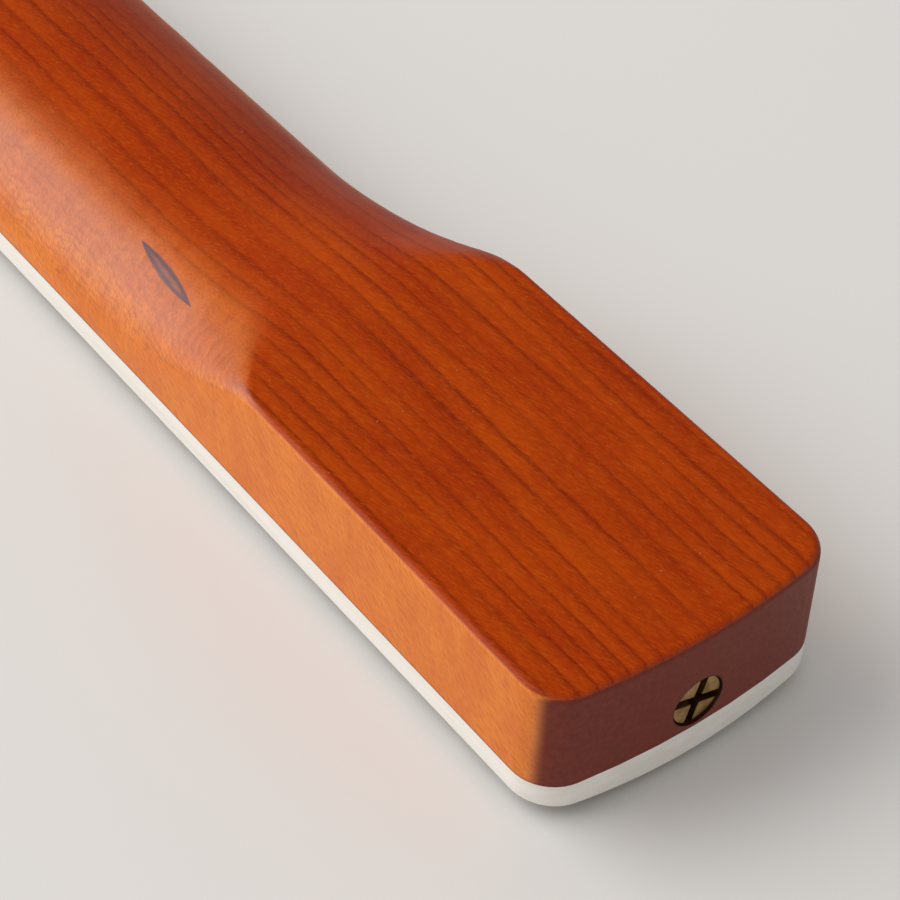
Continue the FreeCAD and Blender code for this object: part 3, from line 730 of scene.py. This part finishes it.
@dataclass
class Workshop:
    """Makes each finish once and dresses pieces with it."""

    made: dict[Slot, bpy.types.Material] = field(default_factory=dict)

    def finish(self, slot: Slot) -> bpy.types.Material:
        """Material of a slot, made on first use.

        Args:
            slot: the finish.

        Returns:
            The material.
        """
        if slot not in self.made:
            self.made[slot] = FINISHES[slot].material()
        return self.made[slot]

    def dress_node(self, node: str, slot: Slot) -> None:
        """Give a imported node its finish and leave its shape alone.

        Args:
            node: the node's name.
            slot: the finish.
        """
        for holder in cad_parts[node].material_slots:
            holder.link = "OBJECT"
            holder.material = self.finish(slot)
        LOG.info("%s dressed in %s", node, slot.value)

    def smooth_piece(self, node: str, slot: Slot, body: Body, crease: float) -> None:
        """Stand a merged, smooth-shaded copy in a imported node's place.

        Args:
            node: the node's name.
            slot: the finish.
            body: the body that the piece rides on.
            crease: angle in degrees past which an edge stays sharp.
        """
        bpy.ops.object.select_all(action="DESELECT")
        piece = bpy.data.objects.new(f"{node}_surface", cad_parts[node].data.copy())
        bpy.context.scene.collection.objects.link(piece)
        piece.select_set(True)
        bpy.context.view_layer.objects.active = piece
        bpy.ops.mesh.customdata_custom_splitnormals_clear()
        bpy.ops.object.mode_set(mode="EDIT")
        bpy.ops.mesh.select_all(action="SELECT")
        bpy.ops.mesh.remove_doubles(threshold=0.001 * MM)
        bpy.ops.object.mode_set(mode="OBJECT")
        bpy.ops.object.shade_smooth_by_angle(angle=math.radians(crease))
        piece.data.materials.clear()
        piece.data.materials.append(self.finish(slot))
        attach(piece, body.value)
        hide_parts(node)
        LOG.info("%s: %d faces in %s", piece.name, len(piece.data.polygons), slot.value)


@dataclass
class NeckWood:
    """Maple neck with its heel, shaft and headstock, and the strip over the rod."""

    crease: float = 32.0

    def build(self, shop: Workshop) -> None:
        """Make the wood's pieces."""
        shop.smooth_piece("neck", Slot.MAPLE, Body.NECK, self.crease)
        shop.dress_node("rod_filler_strip", Slot.FILLER_MAPLE)


@dataclass
class Board:
    """Fingerboard with its binding, frets, markers and string nut."""

    frets: int = 21
    crease: float = 30.0

    def build(self, shop: Workshop) -> None:
        """Make the board's pieces.

        Args:
            shop: dresses each piece.
        """
        shop.smooth_piece("fingerboard", Slot.ROSEWOOD, Body.NECK, self.crease)
        shop.smooth_piece("binding", Slot.BINDING, Body.NECK, self.crease)
        for number in range(1, self.frets + 1):
            shop.smooth_piece(f"fret_{number:02d}", Slot.FRET_WIRE, Body.NECK, self.crease)
        shop.smooth_piece("face_markers", Slot.PEARL, Body.NECK, self.crease)
        shop.smooth_piece("side_markers", Slot.SIDE_MARKER, Body.NECK, self.crease)
        shop.smooth_piece("string_nut", Slot.BONE, Body.NECK, self.crease)


@dataclass
class TrussRod:
    """Steel rod with its anchor, and the washer and nut that tighten it."""

    crease: float = 35.0

    def build(self, shop: Workshop) -> None:
        """Make the rod's pieces.

        Args:
            shop: dresses each piece.
        """
        shop.dress_node("truss_rod", Slot.ROD_STEEL)
        shop.dress_node("truss_rod_anchor", Slot.ROD_STEEL)
        shop.smooth_piece("truss_rod_washer", Slot.BRASS, Body.WASHER, self.crease)
        shop.smooth_piece("truss_rod_nut", Slot.BRASS, Body.ROD_NUT, self.crease)


@dataclass
class Studio:
    """Floor, lamp, surrounding light and camera."""

    floor_colour: tuple = srgb(226, 223, 219)
    floor_shade: tuple = srgb(214, 210, 204)
    floor_roughness: float = 0.6
    backdrop: tuple = srgb(198, 196, 193)
    floor_size: float = 8.0
    fill: float = 0.5
    lamp_from: tuple = (0.58, 0.52, 0.58)
    lamp_away: float = 2.6
    lamp_size: float = 2.6
    lamp_power: float = 66.0
    camera_offset: tuple = (-0.2419, 0.2620, 0.4274)
    target_offset: tuple = (0.0620, -0.0014, 0.0135)
    camera_roll: float = 0.0752
    camera_lens: float = 146.7

    def heel_apex(self) -> Vector:
        """Point of the heel's end on the floor."""
        return Vector((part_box("neck")[0].x, 0.0, 0.0))

    def build_floor(self) -> None:
        """Lay the plain floor under the neck."""
        bpy.ops.object.select_all(action="DESELECT")
        bpy.ops.mesh.primitive_plane_add(size=self.floor_size, location=(0, 0, CAD_BOX[0].z))
        floor = bpy.context.object
        floor.name = "floor"
        material, graph = new_graph("floor")
        paper = graph.noise((160, 160, 160), 2.0, 1.0)
        graph.surface({
            "Base Color": graph.mix(paper * 0.12, self.floor_colour, self.floor_shade),
            "Roughness": self.floor_roughness})
        floor.data.materials.append(material)

    def build_light(self) -> None:
        """Set one broad soft lamp and an even surrounding light."""
        aim = self.heel_apex() + Vector(self.target_offset)
        toward = Vector(self.lamp_from).normalized()
        data = bpy.data.lights.new("soft_lamp", "AREA")
        data.shape = "SQUARE"
        data.size = self.lamp_size
        data.energy = self.lamp_power
        lamp = bpy.data.objects.new("soft_lamp", data)
        bpy.context.scene.collection.objects.link(lamp)
        lamp.location = aim + toward * self.lamp_away
        lamp.rotation_euler = toward.to_track_quat("Z", "Y").to_euler()
        world = bpy.data.worlds.new("studio")
        world.use_nodes = True
        graph = Graph(world.node_tree)
        path = graph.node("ShaderNodeLightPath")
        outputs = path.socket.node.outputs
        seen = Value(graph, outputs["Is Camera Ray"])
        for ray in ("Is Glossy Ray", "Is Transmission Ray"):
            seen = seen.most(Value(graph, outputs[ray]))
        even = graph.node("ShaderNodeBackground", None, {
            "Color": (1.0, 1.0, 1.0, 1.0), "Strength": self.fill})
        shown = graph.node("ShaderNodeBackground", None, {
            "Color": self.backdrop, "Strength": 1.0})
        both = graph.node("ShaderNodeMixShader", None, {0: seen, 1: even, 2: shown})
        graph.node("ShaderNodeOutputWorld", None, {"Surface": both})
        bpy.context.scene.world = world

    def build_camera(self) -> None:
        """Set the camera above the heel's corner, with its small roll."""
        apex = self.heel_apex()
        eye = apex + Vector(self.camera_offset)
        ahead = (apex + Vector(self.target_offset) - eye).normalized()
        level = ahead.cross(Vector((0, 0, 1))).normalized()
        above = level.cross(ahead)
        turn, lift = math.cos(self.camera_roll), math.sin(self.camera_roll)
        right = turn * level + lift * above
        up = turn * above - lift * level
        data = bpy.data.cameras.new("camera")
        data.sensor_width = 36.0
        data.lens = self.camera_lens
        data.clip_start = 0.01
        camera = bpy.data.objects.new("camera", data)
        bpy.context.scene.collection.objects.link(camera)
        camera.matrix_world = Matrix.Translation(eye) @ Matrix(
            (right, up, -ahead)).transposed().to_4x4()
        bpy.context.scene.camera = camera

    def build(self) -> None:
        """Make the whole studio."""
        self.build_floor()
        self.build_light()
        self.build_camera()
        bpy.context.scene.view_settings.view_transform = "Standard"


def main() -> None:
    """Build the neck, then the studio round it."""
    logging.basicConfig(level=logging.INFO, format="%(name)s: %(message)s")
    shop = Workshop()
    for assembly in (NeckWood(), Board(), TrussRod()):
        assembly.build(shop)
    Studio().build()


if __name__ == "__main__":
    main()
